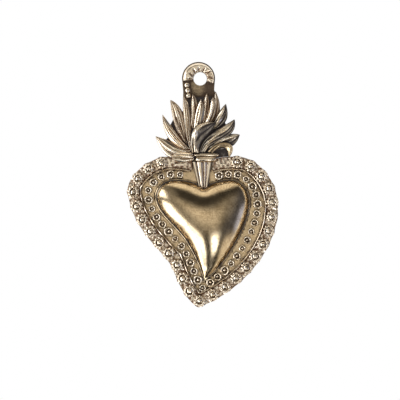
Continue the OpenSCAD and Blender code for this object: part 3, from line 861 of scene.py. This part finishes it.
def bar(name, length, thick, v):
    """A round-ended bar that bows a little, like a band seen round a bundle."""
    rings = []
    turns = np.linspace(0, 2 * math.pi, 17)[:-1]
    for x in np.linspace(-1, 1, 41):
        girth = thick / 2 * math.sqrt(max(0.02, 1 - abs(x) ** ENDS))
        u = COLLAR_X + x * length / 2
        base = SHEET + STRIP + COLLAR_RISE - thick / 2 - DIP * x * x
        sag = BOW * (x * x - 0.4)
        rings.append([(u, v + sag + girth * math.cos(a), base + girth * math.sin(a)) for a in turns])
    return lofted(name, rings)


keep(bar("collar_low", LOWER_L, LOWER_D, lower_v), "flames", "lower_collar")
keep(bar("collar_high", UPPER_L, UPPER_D, upper_v), "flames", "upper_collar")

# %% [markdown]
# ## Flame leaves
# Every leaf lies between two curved edges that run from its root to its tip. Ribs and grooves run
# along it, the crown is low and the edges are thin. The leaves are lofted crosswise, so the ribs
# follow the bend of the leaf by themselves. Where a leaf folds over, its main rib moves to the left
# edge and leaves a hollow beside it. The grooves and that hollow are darkened with painted shade,
# and the tips are darker.

# %% Loft one leaf
CREST_LEAN, LEAF_EDGE = 0.25, 0.28
ROOT_END, DARK_TIP_START, TIP_END = 0.14, 0.7, 0.985


def leaf_edge(points, tip, t):
    """One edge of a leaf, from its root and two handles to the tip."""
    return bezier(*(FLAME_ROOT + np.array(p) for p in (*points, tip)), t)


def leaf(name, left, right, tip, base, ribs, lift, ridge, phase, rows=52, columns=48):
    """A main rib beside fine lines. A ridge moves it to the left edge, with a hollow beside it."""
    t = np.linspace(0, TIP_END, rows)
    a, b = leaf_edge(left, tip, t), leaf_edge(right, tip, t)
    high = (LEAF - LEAF_EDGE) * (1.75 + 0.3 * ridge)
    rings, grooves = [], []
    for k, share in enumerate(t):
        up = base + lift * share**3
        full = max(0.0, 1 - share / ROOT_END)
        crown = high * (1 - 0.5 * share**3)
        fold = ridge * min(1.0, share / 0.5)
        rib = (0.3 * math.sin(phase) + 0.15 * math.sin(4 * share + phase)) * (1 - fold) - 0.66 * fold
        dark_tip = 1.3 * max(0.0, (share - DARK_TIP_START) / (1 - DARK_TIP_START))
        ring, groove = [(*b[k], up)], [0.6]
        for j in range(columns, -1, -1):
            x = -1 + 2 * j / columns
            bend = x + 0.16 * math.sin(5 * share + phase) * (1 - x * x)
            lines = abs(math.sin(math.pi * (ribs + 1) * (bend + 1) / 2)) ** 0.55
            crest = math.exp(-(((x - rib) / (0.45 - 0.2 * fold)) ** 2))
            form = (0.6 * crest + 0.45 * lines) * (1 - fold) + (0.85 * crest + 0.22 * lines) * fold
            arch = max(0.0, 1 - x * x) ** 0.25
            rise = crown * arch * (0.1 + min(1.0, form)) * (1 - CREST_LEAN * x)
            h = up + (LEAF_EDGE + rise) * (1 - full) + LEAF * full * (0.4 + 0.6 * lines)
            ring.append((*(a[k] + (b[k] - a[k]) * j / columns), h))
            # Painted shade in the grooves between the ribs and in the hollow beside a folded rib
            between = 1.25 - 0.3 * full - (1.9 - 0.2 * fold) * form
            groove.append(min(1.0, max(dark_tip * (1 - crest * 0.6), between)))
        ring.append((*a[k], up))
        rings.append(ring)
        grooves.append(groove + [0.6])
    return lofted(name, rings, 85, grooves)


# %% All sixteen leaves, in three layers
LOW, MIDDLE, HIGH = SHEET + STRIP, SHEET + STRIP + LEAF, SHEET + STRIP + 2 * LEAF
# Left edge, right edge, tip, then the layer, ribs, lift of the tip, ridge and finish
plume = {
    "left_low_leaf": (
        [[-2.4, -0.9], [-9.0, -4.2], [-12.2, 0.6]],
        [[-2.3, 0.9], [-6.0, 2.9], [-10.4, 4.2]],
        [-13.4, 5.1], LOW, 2, 0.2, 0.0, "flames",
    ),
    "left_low_curl": (
        [[-2.0, -2.1], [-4.8, -3.1], [-7.2, -3.4]],
        [[-2.2, 0.2], [-5.2, 0.6], [-7.8, 0.4]],
        [-8.7, -1.2], MIDDLE, 2, 0.1, 0.0, "flames",
    ),
    "left_mid_leaf": (
        [[-4.3, 1.1], [-9.3, 2.2], [-11.4, 6.4]],
        [[-3.1, 1.3], [-5.6, 3.6], [-8.9, 8.6]],
        [-11.3, 11.6], MIDDLE, 2, 0.4, 0.0, "flames",
    ),
    "left_inner_leaf": (
        [[-4.1, 2.75], [-5.9, 4.9], [-7.6, 7.6]],
        [[-3.85, 3.1], [-4.75, 5.1], [-6.0, 8.4]],
        [-7.7, 10.7], MIDDLE, 2, 0.2, 0.0, "flames",
    ),
    "left_high_leaf": (
        [[-5.0, 3.2], [-7.4, 5.8], [-8.7, 11.5]],
        [[-3.9, 3.6], [-3.6, 9.5], [-5.2, 14.6]],
        [-9.0, 16.0], LOW, 3, 0.3, 0.0, "flames",
    ),
    "left_spine": (
        [[-2.9, 0.8], [-5.2, 6.3], [-5.2, 12.3]],
        [[-1.9, 0.8], [-3.6, 7.3], [-1.7, 13.6]],
        [-5.0, 16.9], MIDDLE, 2, 0.0, 0.0, "flames",
    ),
    "core_leaf_1": (
        [[-3.4, 7.3], [-3.0, 10.8], [-2.9, 14.6]],
        [[-1.7, 7.3], [0.3, 10.6], [0.4, 14.4]],
        [-2.3, 17.9], LOW, 2, 0.0, 0.3, "flames",
    ),
    "core_leaf_2": (
        [[-2.3, 6.2], [-1.7, 10.7], [-1.4, 13.5]],
        [[-0.9, 6.2], [1.5, 10.1], [2.3, 12.9]],
        [0.2, 16.2], MIDDLE, 2, 0.0, 0.0, "flames",
    ),
    "core_leaf_3": (
        [[-1.4, 7.6], [0.4, 10.8], [0.1, 14.6]],
        [[0.6, 7.6], [3.1, 10.5], [3.3, 14.6]],
        [2.0, 18.1], LOW, 2, 0.0, 0.3, "flames",
    ),
    "core_leaf_4": (
        [[-0.4, 6.2], [2.5, 10.7], [2.5, 13.8]],
        [[1.2, 6.2], [4.9, 10.5], [5.7, 14.3]],
        [3.8, 16.9], MIDDLE, 2, 0.0, 0.3, "flames",
    ),
    "core_leaf_5": (
        [[0.9, 7.9], [4.1, 10.5], [3.5, 15.2]],
        [[2.1, 7.9], [6.0, 10.8], [7.0, 13.8]],
        [4.6, 18.6], LOW, 2, 0.0, 0.5, "flames",
    ),
    "right_high_leaf": (
        [[3.1, 7.2], [4.3, 9.6], [5.3, 12.6]],
        [[3.6, 6.9], [8.2, 8.4], [8.9, 10.6]],
        [7.7, 14.8], MIDDLE, 3, 0.3, 0.6, "dark_flames",
    ),
    "right_mid_leaf": (
        [[-0.2, 0.3], [0.8, 6.4], [6.4, 7.4]],
        [[1.5, 0.3], [3.6, 4.4], [11.6, 3.6]],
        [10.3, 10.2], MIDDLE, 3, 0.4, 0.6, "dark_flames",
    ),
    "right_low_leaf": (
        [[2.7, 1.9], [4.0, 4.8], [8.2, 6.4]],
        [[1.8, 0.2], [6.5, 1.6], [10.4, 0.2]],
        [11.9, 5.6], LOW, 3, 0.2, 0.6, "dark_flames",
    ),
    "right_low_curl": (
        [[2.2, 0.4], [5.0, 5.0], [13.0, 3.8]],
        [[3.8, 0.1], [5.6, 2.4], [8.8, 2.8]],
        [8.4, -1.7], MIDDLE, 1, 0.0, 0.0, "sheet",
    ),
    "front_leaf": (
        [[-2.5, 0.1], [-3.8, 6.4], [-2.0, 10.2]],
        [[-0.3, 0.1], [-0.8, 4.4], [3.2, 5.0]],
        [4.6, 9.1], HIGH, 2, 0.7, 0.9, "dark_flames",
    ),
}
for i, (node, (left, right, tip, base, ribs, lift, ridge, slot)) in enumerate(plume.items()):
    keep(leaf("ribbed_" + node, left, right, tip, base, ribs, lift, ridge, 1.7 * i), slot, node)

# %% [markdown]
# ## Rope rim round the hole
# The rim looks like twisted rope: a rounded moulding cut by slanted notches that are wide at the
# hole and close up toward the edge of the tab. It is lofted round the hole, and each ring is
# shifted a little along the twist. Three beads end the rope on its left.

# %% Rope moulding
TAB = np.array([-0.5, 0.1])
ROPE_IN, ROPE_OUT, ROPE_RISE = 2.1, 4.6, 0.95
ROPE_FROM, ROPE_TO, LOBES, LOBE_STEPS = 188, -18, 7, 9
# The grooves put painted shade in the notches between the lobes of the rope
rope_rings, rope_grooves = [], []
for k, angle in enumerate(np.linspace(ROPE_FROM, ROPE_TO, LOBE_STEPS * LOBES + 1)):
    inner, outer = ROPE_IN * heading(angle), TAB + ROPE_OUT * heading(angle)
    ring, groove = [(*inner, SHEET)], [0.8]
    for x in np.linspace(0, 1, 21):
        twist = (k / LOBE_STEPS - 0.5 * x) % 1
        room = 0.24 + 0.6 * x * (1 - 0.62 * max(0.0, math.cos(math.radians(angle))))
        lobe = min(1.0, max(0.0, (room - abs(twist - 0.5)) / 0.16))
        arch = min(1.0, 1.5 * math.sin(math.pi * (0.08 + 0.88 * x))) ** 0.8
        h = SHEET + ROPE_RISE * (0.12 + 0.88 * arch * (0.55 + 0.45 * lobe))
        ring.append((*(inner + (outer - inner) * x), h))
        groove.append(1.1 * (1 - lobe))
    ring.append((*outer, SHEET))
    rope_rings.append(ring)
    rope_grooves.append(groove + [0.5])
keep(lofted("rope_rim", rope_rings, 60, rope_grooves), "grains", "tab_rope")

# %% Beads that end the rope
beads = Growth("bead_row", Radius=0.00075, Seed=5)
round_bead = grain_of(beads, beads.inlet("Radius"), beads.inlet("Radius") * 1.3, 4)
beads.close(on_seats(beads, round_bead, 0.05, beads.inlet("Seed")), finishes["grains"])
RIM_BEADS, FIRST_BEAD, BEAD_PITCH, BEAD_DRIFT = 3, -1.9, 1.62, 0.25
side = TAB[0] - (ROPE_IN + ROPE_OUT) / 2 - 0.1
bead_seats = [(side + BEAD_DRIFT * k, FIRST_BEAD - BEAD_PITCH * k, 0) for k in range(RIM_BEADS)]
row = seats("rim_beads", bead_seats, SHEET + 0.2, [1.0] * RIM_BEADS)
beads.grow(row)
keep(row, "grains", "tab_beads")

# %% [markdown]
# ## Where the tarnish and the painted shade sit
# Tarnish stays where fingers and cloth can't reach, and shade falls in the same places, so the
# darkening here is tarnish and painted shade together. From every point of the charm a tree of rays
# looks outward, and the share that soon hits metal is stored as "recess": zero on the high places
# and near one at the bottom of a groove. The rays are cast at the whole charm, so a leaf darkens
# the sheet that it lies on, a painted shadow. The grooves that a piece brought along, painted shade
# as well, are added.

# %% Measure the recesses
gathered = bmesh.new()
for piece, _, _ in pieces.values():
    gathered.from_mesh(piece.data)
whole_charm = link_piece("whole_charm", mesh_of(gathered, "whole_charm"))

# Darkness from rays that soon hit metal: patina and painted shade in hollows and under overlapping pieces
patina = Growth("patina", Charm="", Reach=0.0022, Skip=0.00003, Groove=0.42)
normal = patina.node("GeometryNodeInputNormal")
here = patina.node("GeometryNodeInputPosition")
skip = patina.node("ShaderNodeCombineXYZ", None, {i: patina.inlet("Skip") for i in range(3)})
start = patina.vector("MULTIPLY_ADD", normal, skip, here)
target = patina.node("GeometryNodeObjectInfo", None, {"Object": patina.inlet("Charm")}, "Geometry")
reach = patina.inlet("Reach")
RAYS, GOLDEN_ANGLE = 30, 2.399963
darkness, weight = None, None
for k in range(RAYS):
    z = 1 - 2 * (k + 0.5) / RAYS
    turn = k * GOLDEN_ANGLE
    way = Vector((math.cos(turn) * math.sqrt(1 - z * z), math.sin(turn) * math.sqrt(1 - z * z), z))
    square = patina.vector("DOT_PRODUCT", normal, way, out=1).most(0.0)
    hit = patina.node(
        "GeometryNodeRaycast",
        None,
        {"Target Geometry": target, "Source Position": start, "Ray Direction": way, "Ray Length": reach},
        "Is Hit",
    )
    met = hit * square * (1.0 - hit.other("Hit Distance") / reach)
    darkness = met if darkness is None else darkness + met
    weight = square if weight is None else weight + square
groove = patina.node("GeometryNodeInputNamedAttribute", {"data_type": "FLOAT"}, {"Name": "groove"})
recess = darkness / weight + groove * patina.inlet("Groove")
stored = patina.node(
    "GeometryNodeStoreNamedAttribute",
    {"data_type": "FLOAT", "domain": "POINT"},
    {0: patina.inlet("Geometry"), "Name": "recess", "Value": recess},
)
patina.close(stored)
for piece, slot, _ in pieces.values():
    patina.grow(piece, Charm=whole_charm)
    piece.data.materials.clear()
    piece.data.materials.append(finishes[slot])
    values = np.zeros(len(piece.data.vertices), np.float32)
    piece.data.attributes["recess"].data.foreach_get("value", values)
    print(f"{piece.name}: mean recess {values.mean():.2f}, deepest {values.max():.2f}")
bpy.data.objects.remove(whole_charm)

# %% [markdown]
# ## On the frame
# Nothing on the charm moves, so every piece rides on the one body and hides the plain CAD node
# that it stands for.

# %% Ride and replace
for piece, slot, nodes in pieces.values():
    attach(piece, "root")
    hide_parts(*nodes)
print(len(pieces), "pieces,", sum(len(p.data.polygons) for p, _, _ in pieces.values()), "faces")

# %% [markdown]
# ## Studio
# Metal shows its surroundings. Behind the charm everything is white. In front of it stands a dark
# half-dome that the camera doesn't see, with soft windows in it. Small bright ones show as streaks
# down the left of the heart and right of its ridge. Wide dim ones, a little warm, give the gold
# middle and the pale band along the top, and two bluish ones the cool right edge. Three plain lamps
# give the soft light that falls on the hollows and the floor.

# %% Camera
camera_data = bpy.data.cameras.new("camera")
camera_data.lens = 240
camera_data.clip_end = 20
camera = bpy.data.objects.new("camera", camera_data)
camera.location = (-0.00006, -0.8, -0.03633)
camera.rotation_euler = UPRIGHT
bpy.context.scene.collection.objects.link(camera)
bpy.context.scene.camera = camera
bpy.context.scene.view_settings.view_transform = "Standard"
print("camera:", camera_data.lens, "mm lens,", round(camera.location.length, 2), "m from the hole")

# %% World and floor, white where they are seen
CENTRE = Vector((0.0, 0.0, -0.036))
world = bpy.data.worlds.new("studio")
bpy.context.scene.world = world
world.use_nodes = True
sky = Bench(world.node_tree)
background = sky.tree.nodes["Background"]


def seen_ray(bench):
    """One for camera, mirror and glass rays, nought for the light that falls on things."""
    path = bench.node("ShaderNodeLightPath", None, None, "Is Camera Ray")
    return path.most(path.other("Is Glossy Ray")).most(path.other("Is Transmission Ray"))


def bare_paint(name):
    """A material with an empty tree, and the bench to fill it."""
    paint = bpy.data.materials.new(name)
    paint.use_nodes = True
    bench = Bench(paint.node_tree)
    bench.tree.nodes.clear()
    return paint, bench


background.inputs["Color"].default_value = (1, 1, 1, 1)
sky.tree.links.new((0.35 + 0.65 * seen_ray(sky)).socket, background.inputs["Strength"])

floor_mesh = bpy.data.meshes.new("floor")
half, depth = 3.0, cad_low.z - 0.3
corners = [(x * half, y * half, depth) for x, y in ((-1, -1), (1, -1), (1, 1), (-1, 1))]
floor_mesh.from_pydata(corners, [], [(0, 1, 2, 3)])
floor = link_piece("floor", floor_mesh)
floor_paint, paint = bare_paint("floor_paint")
matt = paint.node("ShaderNodeBsdfDiffuse", None, {"Color": (0.8, 0.8, 0.8, 1)})
glow = paint.node("ShaderNodeEmission", None, {"Strength": seen_ray(paint) * 0.8})
both = paint.node("ShaderNodeAddShader", None, {0: matt, 1: glow})
paint.node("ShaderNodeOutputMaterial", None, {"Surface": both})
floor_mesh.materials.append(floor_paint)
floor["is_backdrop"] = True
print("floor:", round(2 * half, 1), "m wide,", round(cad_low.z - depth, 2), "m below the charm")

# %% Dark half-dome in front
DOME_R = 0.32
work = bmesh.new()
bmesh.ops.create_uvsphere(work, u_segments=64, v_segments=32, radius=DOME_R)
bmesh.ops.delete(work, geom=[v for v in work.verts if v.co.y > -0.01], context="VERTS")
bmesh.ops.translate(work, verts=work.verts, vec=CENTRE)
dome = link_piece("dark_card", mesh_of(work, "dark_card"))
card_paint, card = bare_paint("card_paint")
spot_at = card.node("ShaderNodeTexCoord", None, None, "Object")
way = card.vector("NORMALIZE", card.vector("SUBTRACT", spot_at, CENTRE))
east = card.node("ShaderNodeSeparateXYZ", None, {0: way}, "X")
north = east.other("Z")


def window(x0, x1, z0, z1, soft_x, soft_z, light):
    """A bright part of the dome with soft edges, from x0 to x1 across and from z0 to z1 up."""
    shade = light
    for value, a, b, soft in ((east, x0, x1, soft_x), (north, z0, z1, soft_z)):
        for edge, inward in ((a, 1), (b, -1)):
            ends = {0: value, 1: edge - inward * soft, 2: edge + inward * soft}
            shade = card.node("ShaderNodeMapRange", {"interpolation_type": "SMOOTHSTEP"}, ends) * shade
    return shade


# Windows: east from and to, north from and to, softness across and up, light
streaks = [
    (-1.10, -0.74, 0.12, 0.52, 0.08, 0.08, 5.5),
    (-0.90, -0.68, -0.40, -0.12, 0.05, 0.06, 4.5),
    (-0.85, -0.65, -0.63, -0.39, 0.06, 0.05, 5.5),
    (-0.60, -0.36, -0.64, -0.48, 0.05, 0.05, 4.5),
    (0.04, 0.33, -0.61, -0.42, 0.07, 0.05, 6.0),
]
washes = [
    (-0.42, 0.31, -0.32, 0.25, 0.16, 0.18, 0.62),
    (-0.32, 0.06, -0.12, 0.14, 0.15, 0.12, 0.35),
    (-0.78, -0.36, -0.70, 0.80, 0.12, 0.2, 0.22),
    (-0.80, 0.90, 0.83, 1.20, 0.20, 0.07, 1.2),
    (0.15, 0.66, -0.12, 0.50, 0.16, 0.18, 0.22),
    (0.55, 1.20, -0.95, -0.48, 0.10, 0.08, 1.0),
]
flash, glow = 0.0, 0.04
for w in streaks:
    flash = window(*w) + flash
for w in washes:
    glow = window(*w) + glow
cool = window(0.86, 1.2, -0.46, -0.02, 0.05, 0.1, 1.2) + window(0.5, 1.2, -0.5, 0.6, 0.2, 0.2, 0.1)
WARM, BLUISH, CLEAR = (1, 0.955, 0.875, 1), (0.5, 0.6, 1, 1), (0.95, 1, 1.1, 1)
lights = []
for tint, strength in ((WARM, glow), (BLUISH, cool), (CLEAR, flash)):
    lights.append(card.node("ShaderNodeEmission", None, {"Color": tint, "Strength": strength}))
both = card.node("ShaderNodeAddShader", None, {0: lights[0], 1: lights[1]})
every = card.node("ShaderNodeAddShader", None, {0: both, 1: lights[2]})
card.node("ShaderNodeOutputMaterial", None, {"Surface": every})
dome.data.materials.append(card_paint)
dome.visible_camera = False
dome.visible_diffuse = False
dome.visible_shadow = False
dome.visible_transmission = False
dome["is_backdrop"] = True
print("windows:", len(streaks), "bright,", len(washes), "warm and 2 bluish")


# %% Soft lamps
LAMP_AWAY = 0.9


def softbox(name, azimuth, elevation, wide, tall, radiance):
    """A rectangular lamp that looks at the charm; azimuth 0 is the front, positive to the right."""
    lamp = bpy.data.lights.new(name, "AREA")
    lamp.shape = "RECTANGLE"
    lamp.size, lamp.size_y = wide, tall
    lamp.energy = radiance * math.pi * wide * tall
    made = bpy.data.objects.new(name, lamp)
    a, e = math.radians(azimuth), math.radians(elevation)
    way = Vector((math.sin(a) * math.cos(e), -math.cos(a) * math.cos(e), math.sin(e)))
    made.location = CENTRE + way * LAMP_AWAY
    made.rotation_euler = way.to_track_quat("Z", "Y").to_euler()
    bpy.context.scene.collection.objects.link(made)
    return made


lamps = [
    softbox("key_left", -50, 20, 0.5, 0.8, 1.6),
    softbox("fill_right", 40, 30, 0.5, 0.5, 0.6),
    softbox("over_floor", 0, 65, 0.8, 0.5, 0.8),
]
for lamp in lamps:
    lamp.visible_glossy = False
print("lamps:", ", ".join(lamp.name for lamp in lamps))

# %% Sizes, and the end
low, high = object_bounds()
print("visual box in mm:", [round(1000 * (b - a), 1) for a, b in zip(low, high)])
